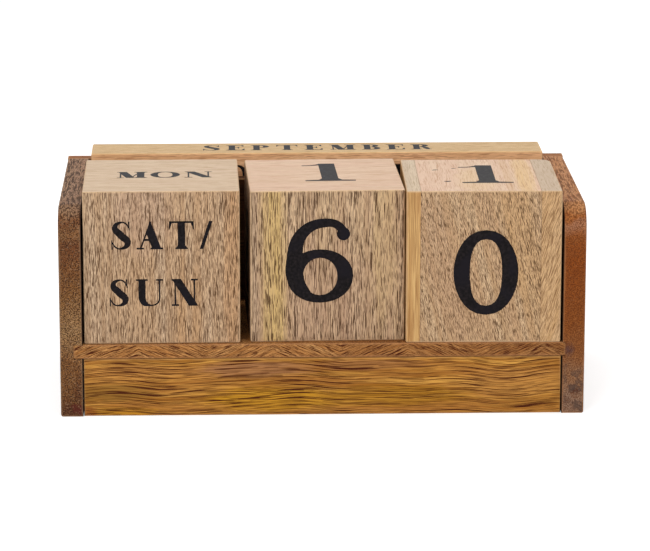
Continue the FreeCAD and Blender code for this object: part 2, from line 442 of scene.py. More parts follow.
# %% Shelf
shelf_tones = plank((214, 160, 98), (166, 110, 56), (194, 134, 74), 0.5, (70, 26, 4), 1.0)
shelf_cut = cut_of(0.2, 3.6, 0.515, 1.3, 30.0, 1.2, 20.0)
shelf_zones = (
    ((40.0, -51.0, 0.0), (46.0, 60.0, 20.0), 0.45, colour(134, 80, 34)),
    ((84.0, -51.0, 0.0), (24.0, 60.0, 20.0), 0.55, colour(126, 76, 36)),
)
shelf_middle, shelf_half = middle_and_half("shelf")
shelf_wood, tree, shader = start_material("interlocked_shelf_wood")
local = place_in(tree, shelf_middle, along_z)
parts = split(tree, local)
fold_start = 96.0 * mm
fold_length = 26.0 * mm
fold_slope = 0.42
fold = reckon(tree, "PINGPONG", plus(tree, parts[0], fold_start), fold_length)
leaned = minus(tree, parts[2], times(tree, fold, fold_slope))
leaning = put(tree, "CombineXYZ", {0: leaned, 1: parts[1], 2: parts[0]})
stains = stains_of(tree, local, shelf_zones)
surface, height = grain_colour(tree, leaning.outputs[0], shelf_tones, shelf_cut, stains)
finish_wood(tree, shader, surface, height, local, shelf_half, colour(180, 128, 84))
dress("shelf", shelf_wood)

# %% [markdown]
# ## End panels
# The end panels stand with their end grain to the front, so the front edges are
# porous and soak up more stain than the faces: they are browner, with dark pores and
# a darker foot. The left one is dull and reddish at the foot, the right one is warm
# orange and greys towards the foot. The stain follows a list of tones by height, and
# the pale band in that list, where the front edge rounds into the top, is a painted
# highlight. Over it lie a few dark spots, blots near the foot, pale dust in the pores
# and a dark line along the inner edge.

# %% End panels
panel_cut = cut_of(0.38, 4.0, 0.5, 2.4, 60.0, 3.0, 30.0)
left_panel_tones = plank((170, 128, 80), (100, 58, 28), (140, 90, 48), 0.6, (44, 20, 8), 0.9)
right_panel_tones = plank((166, 92, 34), (98, 44, 10), (134, 68, 22), 0.6, (70, 28, 6), 0.7)
# height in millimetres and tone, from the foot up
left_levels = (
    (1.0, colour(84, 42, 28)),
    (7.0, colour(126, 82, 42)),
    (22.0, colour(142, 96, 52)),
    (34.0, colour(188, 148, 100)),
    (48.0, colour(144, 100, 54)),
    (64.0, colour(124, 72, 36)),
    # a painted highlight, where the front edge rounds into the top
    (72.0, colour(150, 106, 66)),
    (77.0, colour(126, 76, 42)),
    (82.0, colour(166, 130, 100)),
)
right_levels = (
    (4.0, colour(160, 136, 114)),
    (14.0, colour(160, 126, 94)),
    (24.0, colour(150, 100, 58)),
    (36.0, colour(144, 82, 30)),
    (62.0, colour(146, 72, 12)),
    (70.0, colour(158, 90, 38)),
    # a painted highlight, where the front edge rounds into the top
    (75.0, colour(196, 140, 104)),
    (77.5, colour(178, 106, 50)),
    (82.0, colour(214, 154, 98)),
)


def by_height(tree, height, levels, full):
    """The tone of the nearest levels at a height."""
    ramp = put(tree, "ValToRGB", {0: reckon(tree, "DIVIDE", height, full)})
    stops = ramp.color_ramp.elements
    stops.remove(stops[1])
    for level, tone in levels:
        stop = stops.new(level * mm / full)
        stop.color = tone
    stops.remove(stops[0])
    return ramp.outputs["Color"]


stain_and_highlight_share = 0.75
level_raggedness = 16.0 * mm
blot_share = 0.7
panel_shine = 0.46


def panel_wood(name, node, inner, tones, levels, blot_tone, blot_height, dust_share, edge_tone, spots):
    """Wood with fibres from front to back; inner is the side, 1 or -1, that faces the rail."""
    middle, half = middle_and_half(node)
    material, tree, shader = start_material(name)
    local = place_in(tree, middle, along_z)
    level = plus(tree, split(tree, local)[2], half[2])
    cloud = minus(tree, noise(tree, local, 150.0, 4.0), 0.5)
    ragged = plus(tree, level, times(tree, cloud, level_raggedness))
    # the stain by height, with its painted highlight band at the top corner
    stain_and_highlight = by_height(tree, ragged, levels, 2 * half[2])
    stains = [(stain_and_highlight_share, stain_and_highlight)] + stains_of(tree, local, spots)
    surface, height = grain_colour(tree, place_in(tree, middle, along_y), tones, panel_cut, stains)
    blots = noise(tree, local, 320.0, 3.0)
    low_part = minus(tree, 1.0, rise(tree, ragged, blot_height * 0.7, blot_height))
    blot = times(tree, rise(tree, blots, 0.5, 0.6), low_part)
    surface = blend(tree, times(tree, blot, blot_share), surface, blot_tone)
    speckles = times(tree, rise(tree, noise(tree, local, 1400.0, 2.0), 0.56, 0.68), dust_share)
    surface = blend(tree, speckles, surface, edge_tone)
    inner_edge = [(0, inner * half[0], 0.9, joint_shadow)]
    finish_wood(tree, shader, surface, height, local, half, edge_tone, panel_shine, inner_edge)
    dress(node, material)


right_spots = (
    ((-1.8, 0.0, -15.7), (3.4, 80.0, 3.4), 0.9, colour(84, 62, 60)),
    ((0.8, 0.0, -32.0), (3.6, 80.0, 2.4), 0.85, colour(56, 42, 40)),
    ((-2.5, 0.0, -36.0), (2.6, 80.0, 2.0), 0.7, colour(70, 54, 48)),
)
left_spots = (
    ((2.6, 0.0, -31.0), (2.6, 80.0, 8.0), 0.6, colour(84, 42, 24)),
    ((0.0, 0.0, 27.0), (8.0, 80.0, 3.2), 0.5, colour(96, 50, 30)),
)
panel_wood(
    "dull_brown_panel_wood", "left_end_panel", 1, left_panel_tones, left_levels,
    colour(84, 30, 22), 6.0 * mm, 0.4, colour(160, 126, 96), left_spots)
panel_wood(
    "warm_brown_panel_wood", "right_end_panel", -1, right_panel_tones, right_levels,
    colour(74, 56, 48), 20.0 * mm, 0.12, colour(178, 122, 76), right_spots)

# %% [markdown]
# ## Divider and back board
# The divider only shows in the gaps between the cubes, and the back board as a rim
# behind the month bars. The divider's tones are dark: a painted shade for the deep,
# narrow gaps between the cubes. Both have their fibres along the calendar.

# %% Divider and back board
# dark divider tones, a painted shade for the gaps between the cubes
gap_shade_divider_tones = plank((104, 68, 40), (70, 44, 24), (88, 54, 30), 0.5, (40, 22, 12), 0.7)
back_tones = plank((176, 118, 66), (138, 84, 42), (160, 98, 50), 0.6, (80, 42, 20), 0.75)
board_cut = cut_of(0.30, 6.0, 0.55, 3.5, 80.0, 5.0, 50.0)
boards = (("divider", "divider_wood_painted_shade", gap_shade_divider_tones), ("back_board", "back_board_wood", back_tones))
for node, name, tones in boards:
    middle, half = middle_and_half(node)
    material, tree, shader = start_material(name)
    surface, height = grain_colour(tree, place_in(tree, middle, along_x), tones, board_cut)
    finish_wood(tree, shader, surface, height, place_in(tree, middle, along_z), half, colour(184, 138, 92))
    dress(node, material)

# %% [markdown]
# ## Cubes
# The cubes are glued up from pale hardwood that is much lighter than the tray. On the
# upright faces the fibres stand upright and the pores are short dark dashes. The tops
# are cut another way, so the material blends a second cut of the grain in where the
# surface faces up. Their tones are paler still, partly for that cut and partly as
# painted light from the lamp overhead. Each piece of a cube has its own plank: its
# tones, the lean of its fibres, where its yellow or grey streaks run and where the
# glue joints cross it.

# %% Cube recipe
cube_turns = {"weekday_cube": 0.5, "left_number_cube": 1.6, "right_number_cube": -0.6}
cube_layers = {
    "weekday_cube": ("core", "front_layer"),
    "left_number_cube": ("core", "front_layer"),
    "right_number_cube": ("core", "left_layer", "right_layer"),
}
cube_edge_radius = 0.6 * mm
cube_places = {}
for cube, layers in cube_layers.items():
    middle, half = middle_and_half(*(cube + "_" + layer for layer in layers))
    turn = math.radians(cube_turns[cube])
    # the right number cube's back right corner is worn rounder than the other edges, so the middle is
    # counted from the left and the back, by how far a turned cube with softened edges reaches
    reach = (half[2] - cube_edge_radius) * (math.cos(turn) + math.sin(abs(turn))) + cube_edge_radius
    middle = (middle[0] - half[0] + reach, middle[1] + half[1] - reach, middle[2])
    cube_places[cube] = (middle, (half[2], half[2], half[2]), turn)
    print(cube, "middle", [round(v / mm, 2) for v in middle], "edge", round(2 * half[2] / mm, 1), "mm")

side_cut = cut_of(0.21, 3.0, 0.545, 2.4, 90.0, 1.6, 35.0)
top_cut = cut_of(0.3, 8.0, 0.60, 2.5, 60.0, 2.0, 40.0)


# a face that points up or down by less than the first share is a side, by more than the second a top
side_until = 0.5
top_from = 0.85
glue_line_share = 0.5


def cube_wood(name, cube, layer, side_tones, top_tones_paler_by_cut_and_light, lean=0.0, top_along=along_x, cut=None, joints=(),
              side_zones=(), top_zones=()):
    """Wood of one layer of a cube; joints are the glue lines, zones the patches of another tone."""
    middle, half, turn = cube_places[cube]
    material, tree, shader = start_material(name)
    local = place_in(tree, middle, (0.0, 0.0, turn))
    parts = split(tree, local)
    leaned = minus(tree, parts[0], times(tree, parts[2], lean))
    upright = put(tree, "CombineXYZ", {0: leaned, 1: parts[1], 2: parts[2]}).outputs[0]
    side_stains = stains_of(tree, upright, side_zones)
    side, side_height = grain_colour(tree, upright, side_tones, {**side_cut, **(cut or {})}, side_stains)
    lying = turn_back(tree, local, top_along)
    top, top_height = grain_colour(tree, lying, top_tones_paler_by_cut_and_light, top_cut, stains_of(tree, local, top_zones))
    facing = put(tree, "TexCoord").outputs["Normal"]
    level = rise(tree, reckon(tree, "ABSOLUTE", split(tree, facing)[2]), side_until, top_from)
    surface = blend(tree, level, side, top)
    height = put(tree, "Mix", {0: level, 2: side_height, 3: top_height}).outputs[0]
    lines = [(axis, place * mm, glue_line_share, colour(104, 74, 50)) for axis, place in joints]
    finish_wood(tree, shader, surface, height, local, half, colour(214, 180, 140), joints=lines)
    dress(cube + "_" + layer, material)


# %% Weekday cube
weekday_side = plank((214, 183, 150), (181, 148, 115), (198, 159, 119), 0.5, (78, 50, 28), 0.9)
# the top's tones are paler, partly for the other cut and partly as painted light from above
weekday_top_paler_by_cut_and_light = plank((218, 194, 168), (204, 178, 150), (212, 188, 158), 0.5, (166, 130, 98), 0.6)
weekday_zones = (
    ((-8.0, -30.0, 22.0), (14.0, 20.0, 20.0), 0.4, colour(196, 162, 140)),
    ((27.0, -30.0, 0.0), (4.0, 20.0, 60.0), 0.5, colour(190, 138, 88)),
    ((10.0, -30.0, -20.0), (7.0, 20.0, 26.0), 0.35, colour(198, 150, 100)),
)
cube_wood("beige_weekday_front_wood", "weekday_cube", "front_layer", weekday_side, weekday_top_paler_by_cut_and_light,
          joints=[(1, -23.1)], side_zones=weekday_zones)
cube_wood("beige_weekday_wood", "weekday_cube", "core", weekday_side, weekday_top_paler_by_cut_and_light)

# %% Left number cube
left_number_side = plank((217, 185, 148), (184, 151, 116), (188, 153, 125), 0.7, (70, 44, 26), 0.9)
# the top's tones are paler, partly for the other cut and partly as painted light from above
pink_top_paler_by_cut_and_light = plank((226, 198, 172), (212, 180, 152), (222, 188, 164), 0.6, (180, 132, 102), 0.55)
left_number_zones = (
    ((-20.5, 0.0, 0.0), (6.5, 60.0, 200.0), 0.85, colour(206, 172, 108)),
    ((-28.5, 0.0, 0.0), (4.0, 60.0, 200.0), 0.5, colour(176, 148, 124)),
    ((6.0, -30.0, -14.0), (14.0, 20.0, 26.0), 0.45, colour(172, 136, 112)),
    ((22.0, -30.0, 12.0), (6.0, 20.0, 40.0), 0.4, colour(206, 174, 122)),
)
longer_pores = {
    "Pore Width": 0.25 * mm, "Pore Length": 4.2 * mm, "Pore Level": 0.555, "Band Width": 2.6 * mm}
for name, layer, joints in (
        ("striped_number_front_wood", "front_layer", [(1, -23.35)]), ("striped_number_wood", "core", ())):
    cube_wood(name, "left_number_cube", layer, left_number_side, pink_top_paler_by_cut_and_light, cut=longer_pores, joints=joints,
              side_zones=left_number_zones)

# %% Right number cube
tan_side = plank((216, 183, 145), (187, 152, 114), (197, 158, 120), 0.6, (80, 52, 30), 0.85)
yellow_side = plank((214, 174, 116), (188, 142, 88), (204, 154, 102), 0.5, (136, 88, 46), 0.6)
light_side = plank((214, 178, 136), (190, 152, 108), (202, 160, 112), 0.5, (110, 74, 42), 0.75)
# the top's tones are paler, partly for the other cut and partly as painted light from above
grey_top_paler_by_cut_and_light = plank((216, 196, 170), (200, 178, 152), (210, 188, 160), 0.5, (160, 132, 104), 0.5)
tan_zones = (
    ((-16.0, -30.0, 0.0), (8.0, 20.0, 40.0), 0.35, colour(186, 148, 118)),
    ((17.0, -30.0, 6.0), (9.0, 20.0, 40.0), 0.45, colour(202, 160, 108)),
)
core_top_zones = (
    ((17.0, 0.0, 30.0), (4.5, 60.0, 40.0), 0.7, colour(222, 186, 128)),
    ((10.5, 0.0, 30.0), (2.0, 60.0, 40.0), 0.5, colour(204, 166, 124)),
    ((-2.0, -10.0, 30.0), (9.0, 26.0, 40.0), 0.5, colour(222, 192, 146)),
)
right_number_joints = [(0, -24.55), (0, 22.05)]
short_pores = {"Pore Width": 0.21 * mm, "Pore Length": 2.0 * mm, "Pore Level": 0.545}
long_pores = {"Pore Length": 12.0 * mm, "Pore Level": 0.54}
middling_pores = {"Pore Length": 3.0 * mm, "Pore Level": 0.545}
right_top_zones = (((26.0, 0.0, 30.0), (6.0, 60.0, 40.0), 0.6, colour(186, 162, 140)),)
cube_wood("tan_number_core_wood", "right_number_cube", "core", tan_side, pink_top_paler_by_cut_and_light, lean=-0.22,
          top_along=along_y, cut=short_pores, joints=right_number_joints, side_zones=tan_zones,
          top_zones=core_top_zones)
cube_wood("yellow_layer_wood", "right_number_cube", "left_layer", yellow_side, grey_top_paler_by_cut_and_light,
          top_along=along_y, cut=long_pores)
cube_wood("light_layer_wood", "right_number_cube", "right_layer", light_side, grey_top_paler_by_cut_and_light, lean=0.3,
          top_along=along_y, cut=middling_pores, top_zones=right_top_zones)

# %% [markdown]
# ## Month bars
# The bars are of the palest wood on top and orange-brown in front, as quarter-sawn
# and flat-sawn faces of one stick differ. The face's direction blends the two. A
# painted shadow line along each lower edge, the shade in the crack where the bars lie
# stacked, keeps them apart to the eye.

# %% Bars
bar_side = plank((244, 196, 150), (222, 170, 122), (236, 180, 132), 0.5, (150, 96, 58), 0.6)
bar_top = plank((220, 190, 146), (204, 172, 128), (214, 182, 140), 0.5, (158, 120, 78), 0.6)
bar_cut = cut_of(0.26, 6.0, 0.56, 2.5, 60.0, 2.5, 45.0)
bar_length = 182.4
top_bar_askew = 0.5
top_bar_skew = math.asin(top_bar_askew / bar_length)
bar_skews = {"bottom_month_bar": 0.0, "middle_month_bar": 0.0, "top_month_bar": top_bar_skew}
bar_places = {}
for bar, skew in bar_skews.items():
    middle, half = middle_and_half(bar)
    bar_places[bar] = (middle, (half[0], half[2], half[2]), skew)
    material, tree, shader = start_material("pale_" + bar + "_wood")
    local = place_in(tree, middle, (0.0, 0.0, skew))
    turned = turn_back(tree, local, along_x)
    side, height = grain_colour(tree, turned, bar_side, bar_cut)
    top, _ = grain_colour(tree, turned, bar_top, bar_cut)
    facing = split(tree, put(tree, "TexCoord").outputs["Normal"])
    level = rise(tree, reckon(tree, "ABSOLUTE", facing[2]), side_until, top_from)
    surface = blend(tree, level, side, top)
    # a painted shadow line low on the bar, for the shade in the crack where it rests on the one below
    crack_shadow_line = [(2, 0.1 * mm - half[2], 0.75, colour(96, 56, 28))]
    finish_wood(tree, shader, surface, height, local, bar_places[bar][1], colour(222, 182, 130), joints=crack_shadow_line)
    dress(bar, material)
    print(bar, [round(2 * h / mm, 1) for h in half], "mm")

# %% [markdown]
# ## Brads
# The tray is nailed with fine steel brads from outside. Their heads lie flush in the
# wood, ground and slightly dull, so the steel is rough and its tone uneven.

# %% Brads
brad_steel, tree, shader = start_material("ground_brad_steel")
where = put(tree, "TexCoord").outputs["Object"]
scratches = noise(tree, where, 2500.0, 3.0)
tarnish = noise(tree, where, 350.0, 2.0)
steel = blend(tree, rise(tree, tarnish, 0.4, 0.65), colour(176, 174, 170), colour(118, 110, 100))
tree.links.new(steel, shader.inputs["Base Color"])
shader.inputs["Metallic"].default_value = 1.0
dull = plus(tree, times(tree, scratches, 0.3), 0.25)
tree.links.new(dull, shader.inputs["Roughness"])
bump = put(tree, "Bump", {"Strength": 0.3, "Distance": 0.03 * mm, "Height": scratches})
tree.links.new(bump.outputs[0], shader.inputs["Normal"])
for brads in ("rail_brads", "shelf_brads", "divider_brads", "back_board_brads"):
    dress(brads, brad_steel)

# %% [markdown]
# ## Lettering
# The words and numbers are printed in an old book face with strong contrast: thick
# stems, hairlines and thin serifs. Such letters come from a broad pen whose width
# changes as it moves. So each letter is built from pen strokes. A stroke is a curve
# with a width at each point, drawn by a straight nib as its bevel profile. The
# strokes of a letter are thickened to slabs, united and trimmed to the line. Words
# are drawn a little bolder than their strokes say, digits as they are.

# %% Pen and strokes
hairline = 0.07
serif_thickness = 0.055
beyond = 0.04
slab_depth = 0.2


def stem(x, width=0.225, serif_reach=0.09, head=True, foot=True, low=0.0, high=1.0):
    """An upright stroke whose serifs flare out of it at its head and its foot."""
    wide = width + 2 * serif_reach
    down = [(x, -beyond, wide), (x, 0.05, wide), (x, 0.07, width * 1.4), (x, 0.15, width)]
    up = [(x, 0.85, width), (x, 0.93, width * 1.4), (x, 0.95, wide), (x, 1 + beyond, wide)]
    return pull(*(down if foot else [(x, low, width)]), *(up if head else [(x, high, width)]))


def pull(*points):
    """A straight stroke, each point x, y and width in parts of the letter's height."""
    return "VECTOR", False, points


def sweep(*points):
    """A curved stroke."""
    return "AUTO", False, points


def ring(*points):
    """A curved stroke that closes on itself."""
    return "AUTO", True, points


def foot_serif(x, reach):
    return pull((x - reach, 0.0, 2 * serif_thickness), (x + reach, 0.0, 2 * serif_thickness))


def head_serif(x, reach):
    return pull((x - reach, 1.0, 2 * serif_thickness), (x + reach, 1.0, 2 * serif_thickness))


def arm(x0, x1, y):
    return pull((x0, y, hairline), (x1, y, hairline))


def cap_arm(x0, x1):
    """A hairline along the top of the letter, ending in a wedge."""
    wedge = pull((x1 - 0.055, 1.02, 0.12), (x1 - 0.01, 0.71, 0.02))
    return [pull((x0, 0.99, 0.10), (x1 - 0.03, 0.99, 0.10)), wedge]


def base_arm(x0, x1):
    """A hairline along the foot of the letter, ending in a taller wedge."""
    wedge = pull((x1 - 0.075, -0.03, 0.14), (x1 - 0.01, 0.32, 0.02))
    return [pull((x0, 0.01, 0.10), (x1 - 0.04, 0.01, 0.10)), wedge]


def middle_arm(x0, x1, y):
    """A short hairline with a small upright serif."""
    serif = pull((x1 + 0.01, y + 0.15, 0.03), (x1 - 0.012, y, 0.065), (x1 + 0.01, y - 0.15, 0.03))
    return [arm(x0, x1, y), serif]


def upper_bowl(bulge, low):
    """The round of B, P and R, from the head down to a height."""
    half = (low + 0.97) / 2
    round_part = (0.36, 0.97, hairline), (bulge, half, 0.20), (0.34, low, 0.05)
    return sweep((0.19, 0.97, hairline), *round_part, (0.19, low, 0.05))


# %% The letters' strokes
round_left = [
    (0.52, 0.97, 0.06), (0.24, 0.85, 0.16), (0.115, 0.5, 0.23), (0.24, 0.15, 0.16), (0.53, 0.03, 0.06)]
letters = {
    "A": (0.93, [
        pull((0.115, -0.05, 0.05), (0.50, 1.0, 0.05)),
        pull((0.735, -0.05, 0.265), (0.50, 0.58, 0.265), (0.47, 1.02, 0.02)), arm(0.24, 0.66, 0.34),
        foot_serif(0.13, 0.13), foot_serif(0.71, 0.22)]),
    "B": (0.71, [
        stem(0.19), upper_bowl(0.545, 0.525),
        sweep((0.19, 0.525, 0.05), (0.36, 0.525, 0.05), (0.60, 0.28, 0.21), (0.36, 0.03, hairline),
            (0.19, 0.03, hairline))]),
    "C": (0.90, [
        pull((0.83, 1.0, 0.05), (0.845, 0.67, 0.03)),
        sweep((0.83, 0.74, 0.03), (0.75, 0.90, 0.05), *round_left, (0.78, 0.12, 0.05),
            (0.87, 0.28, 0.035))]),
    "D": (0.98, [
        stem(0.20),
        sweep((0.20, 0.97, 0.06), (0.44, 0.97, 0.06), (0.77, 0.82, 0.16), (0.865, 0.5, 0.23),
            (0.77, 0.18, 0.16), (0.44, 0.03, 0.06), (0.20, 0.03, 0.06))]),
    "E": (0.70, [stem(0.19), *cap_arm(0.19, 0.66), *middle_arm(0.19, 0.46, 0.51), *base_arm(0.19, 0.70)]),
    "F": (0.66, [stem(0.19), *cap_arm(0.19, 0.66), *middle_arm(0.19, 0.45, 0.49)]),
    "G": (0.97, [
        pull((0.80, 1.0, 0.05), (0.815, 0.67, 0.03)), pull((0.76, 0.03, 0.20), (0.76, 0.40, 0.20)),
        arm(0.58, 0.96, 0.40),
        sweep((0.80, 0.74, 0.03), (0.73, 0.90, 0.05), *round_left, (0.72, 0.09, 0.06),
            (0.76, 0.25, 0.06))]),
    "H": (1.02, [stem(0.20), stem(0.82), arm(0.2, 0.8, 0.5)]),
    "I": (0.41, [stem(0.205)]),
    "J": (0.58, [
        stem(0.38, foot=False, low=0.28),
        sweep((0.38, 0.32, 0.225), (0.365, 0.14, 0.19), (0.26, 0.035, 0.08), (0.12, 0.11, 0.08)),
        ("DOT", 0.11, 0.14, 0.08)]),
    "L": (0.68, [stem(0.19), *base_arm(0.19, 0.68)]),
    "M": (1.03, [
        pull((0.13, -beyond, 0.05), (0.13, 1.0, 0.05)), foot_serif(0.13, 0.125), head_serif(0.12, 0.12),
        pull((0.17, 1.08, 0.25), (0.50, -0.08, 0.25)), pull((0.50, 0.0, 0.045), (0.80, 1.0, 0.045)),
        stem(0.83)]),
    "N": (0.98, [
        pull((0.16, -beyond, 0.05), (0.16, 0.9, 0.05)), foot_serif(0.16, 0.135), head_serif(0.14, 0.11),
        pull((0.15, 1.08, 0.25), (0.88, -0.10, 0.25)), pull((0.85, 0.02, 0.05), (0.85, 1.0, 0.05)),
        head_serif(0.85, 0.125)]),
    "O": (1.0, [ring((0.5, 0.97, 0.06), (0.115, 0.5, 0.23), (0.5, 0.03, 0.06), (0.885, 0.5, 0.23))]),
    "P": (0.69, [stem(0.19), upper_bowl(0.58, 0.475)]),
    "R": (0.80, [
        stem(0.19), upper_bowl(0.56, 0.52),
        sweep((0.36, 0.50, 0.06), (0.52, 0.40, 0.17), (0.60, 0.17, 0.19), (0.70, 0.045, 0.10),
            (0.80, 0.05, 0.04))]),
    "S": (0.68, [
        pull((0.62, 1.0, 0.045), (0.63, 0.68, 0.03)), pull((0.03, 0.0, 0.045), (0.02, 0.33, 0.03)),
        sweep((0.61, 0.76, 0.03), (0.53, 0.91, 0.05), (0.35, 0.97, 0.06), (0.135, 0.79, 0.17),
            (0.33, 0.52, 0.225), (0.57, 0.22, 0.19), (0.33, 0.03, 0.06), (0.13, 0.10, 0.05),
            (0.04, 0.26, 0.03))]),
    "T": (0.88, [
        stem(0.44, serif_reach=0.08, head=False), pull((0.06, 0.99, 0.10), (0.82, 0.99, 0.10)),
        pull((0.075, 1.02, 0.11), (0.015, 0.70, 0.02)), pull((0.805, 1.02, 0.11), (0.865, 0.70, 0.02))]),
    "U": (0.98, [
        pull((0.215, 0.36, 0.225), (0.215, 1.02, 0.225)), head_serif(0.215, 0.215),
        pull((0.85, 0.36, 0.05), (0.85, 1.0, 0.05)), head_serif(0.85, 0.125),
        sweep((0.215, 0.42, 0.225), (0.225, 0.27, 0.22), (0.34, 0.08, 0.16), (0.54, 0.027, 0.054),
            (0.77, 0.11, 0.05), (0.85, 0.30, 0.05), (0.85, 0.42, 0.05))]),
    "V": (0.93, [
        pull((0.12, 1.08, 0.26), (0.48, -0.08, 0.26)), pull((0.46, 0.0, 0.05), (0.80, 1.0, 0.05)),
        head_serif(0.22, 0.21), head_serif(0.80, 0.13)]),
    "W": (1.35, [
        pull((0.13, 1.08, 0.25), (0.43, -0.08, 0.25)), pull((0.42, 0.0, 0.045), (0.68, 0.95, 0.045)),
        pull((0.58, 1.08, 0.25), (0.88, -0.08, 0.25)), pull((0.87, 0.0, 0.045), (1.20, 1.0, 0.045)),
        head_serif(0.21, 0.20), head_serif(0.64, 0.20), head_serif(1.20, 0.13)]),
    "Y": (0.90, [
        pull((0.13, 1.08, 0.25), (0.47, 0.42, 0.22)), pull((0.50, 0.40, 0.045), (0.79, 1.0, 0.045)),
        stem(0.46, head=False, high=0.47), head_serif(0.19, 0.19), head_serif(0.79, 0.12)]),
    "/": (0.43, [pull((0.04, -0.05, 0.105), (0.39, 1.02, 0.105))]),
}

# %% The digits' strokes
digits = {
    "0": (0.75, [
        ring((0.375, 0.947, 0.106), (0.095, 0.5, 0.19), (0.375, 0.053, 0.106), (0.655, 0.5, 0.19))]),
    "1": (0.59, [
        stem(0.30, 0.195, 0.2, head=False),
        sweep((0.0, 0.885, 0.035), (0.12, 0.90, 0.04), (0.25, 0.965, 0.07))]),
    "2": (0.72, [
        ("DOT", 0.14, 0.75, 0.08),
        sweep((0.13, 0.75, 0.10), (0.17, 0.88, 0.07), (0.36, 0.955, 0.09), (0.62, 0.72, 0.18),
            (0.49, 0.47, 0.12), (0.24, 0.25, 0.06), (0.06, 0.08, 0.06)),
        sweep((0.03, 0.06, 0.12), (0.30, 0.085, 0.17), (0.58, 0.08, 0.16), (0.70, 0.25, 0.03))]),
    "3": (0.72, [
        ("DOT", 0.13, 0.77, 0.075), ("DOT", 0.13, 0.20, 0.08),
        sweep((0.12, 0.80, 0.06), (0.19, 0.91, 0.07), (0.36, 0.955, 0.08), (0.56, 0.75, 0.17),
            (0.44, 0.56, 0.08), (0.28, 0.53, 0.05)),
        sweep((0.28, 0.53, 0.05), (0.47, 0.51, 0.08), (0.63, 0.28, 0.19), (0.44, 0.055, 0.09),
            (0.26, 0.045, 0.07), (0.12, 0.16, 0.06))]),
    "4": (0.74, [
        stem(0.50, 0.19, 0.13, head=False), pull((0.53, 1.02, 0.05), (0.03, 0.28, 0.05)),
        pull((0.01, 0.28, 0.075), (0.73, 0.28, 0.075))]),
    "5": (0.72, [
        ("DOT", 0.13, 0.20, 0.08), pull((0.15, 0.93, 0.12), (0.60, 0.93, 0.12)),
        pull((0.17, 0.93, 0.05), (0.13, 0.50, 0.04)),
        sweep((0.13, 0.50, 0.04), (0.33, 0.60, 0.09), (0.63, 0.33, 0.19), (0.44, 0.07, 0.10),
            (0.26, 0.045, 0.07), (0.12, 0.16, 0.06))]),
    "6": (0.78, [
        ring((0.39, 0.585, 0.10), (0.10, 0.318, 0.19), (0.39, 0.045, 0.09), (0.685, 0.318, 0.185)),
        ("DOT", 0.663, 0.816, 0.078),
        sweep((0.67, 0.80, 0.12), (0.62, 0.90, 0.10), (0.477, 0.949, 0.102), (0.19, 0.83, 0.14),
            (0.095, 0.494, 0.19), (0.115, 0.27, 0.19), (0.25, 0.09, 0.10))]),
    "7": (0.72, [
        pull((0.05, 0.925, 0.13), (0.70, 0.925, 0.13)), pull((0.075, 0.95, 0.07), (0.02, 0.68, 0.02)),
        sweep((0.67, 0.93, 0.05), (0.52, 0.65, 0.09), (0.37, 0.36, 0.15), (0.33, 0.10, 0.2),
            (0.33, -0.05, 0.2))]),
    "8": (0.74, [
        ring((0.37, 0.955, 0.08), (0.16, 0.76, 0.14), (0.37, 0.56, 0.07), (0.58, 0.76, 0.14)),
        ring((0.37, 0.545, 0.08), (0.095, 0.29, 0.17), (0.37, 0.045, 0.085), (0.645, 0.29, 0.17))]),
}
# three stray dabs of the printing pad, beside the number on one face
stray = {
    "~": (0.29, [
        sweep((0.0, 0.725, 0.015), (0.035, 0.742, 0.035), (0.075, 0.74, 0.015)),
        sweep((0.23, 0.825, 0.012), (0.255, 0.82, 0.024), (0.285, 0.823, 0.012)),
        sweep((0.108, 0.098, 0.015), (0.14, 0.09, 0.045), (0.189, 0.11, 0.03))]),
}
signs = {**letters, **digits, **stray}

# %% Nib and slabs
bpy.ops.curve.primitive_bezier_curve_add()
nib = bpy.context.object
nib.data.resolution_u = 1
for end, x in zip(nib.data.splines[0].bezier_points, (-0.5, 0.5)):
    end.handle_left_type = "VECTOR"
    end.handle_right_type = "VECTOR"
    end.co = (x, 0, 0)


def outward():
    """Turns the active object's faces outward."""
    bpy.ops.object.mode_set(mode="EDIT")
    bpy.ops.mesh.select_all(action="SELECT")
    bpy.ops.mesh.remove_doubles(threshold=0.0005)
    bpy.ops.mesh.normals_make_consistent(inside=False)
    bpy.ops.object.mode_set(mode="OBJECT")


def pick(piece):
    """Makes a piece the only selected and the active one."""
    bpy.ops.object.select_all(action="DESELECT")
    piece.select_set(True)
    bpy.context.view_layer.objects.active = piece


def pen_slab(weight, bend, closed, points):
    """One stroke of the pen as a slab, its widths times a weight."""
    bpy.ops.curve.primitive_bezier_curve_add()
    curve = bpy.context.object.data
    curve.dimensions = "2D"
    curve.fill_mode = "NONE"
    curve.resolution_u = 1 if bend == "VECTOR" else 7
    path = curve.splines[0]
    path.bezier_points.add(len(points) - 2)
    path.use_cyclic_u = closed
    path.radius_interpolation = "LINEAR" if bend == "VECTOR" else "CARDINAL"
    for point, (x, y, width) in zip(path.bezier_points, points):
        point.handle_left_type = bend
        point.handle_right_type = bend
        point.co = (x, y, 0)
        point.radius = width * weight
    curve.bevel_mode = "OBJECT"
    curve.bevel_object = nib
    bpy.ops.object.convert(target="MESH")
    outward()
    bpy.ops.object.modifier_add(type="SOLIDIFY")
    thickness = bpy.context.object.modifiers[-1]
    thickness.thickness = slab_depth
    thickness.offset = 0
    bpy.ops.object.modifier_apply(modifier=thickness.name)
    outward()
    return bpy.context.object


def dot_slab(x, y, radius):
    """A round end of a stroke as a slab."""
    bpy.ops.mesh.primitive_cylinder_add(vertices=20, radius=radius, depth=slab_depth, location=(x, y, 0))
    bpy.ops.object.transform_apply()
    return bpy.context.object


def stroke_slab(stroke, weight):
    return dot_slab(*stroke[1:]) if stroke[0] == "DOT" else pen_slab(weight, *stroke)


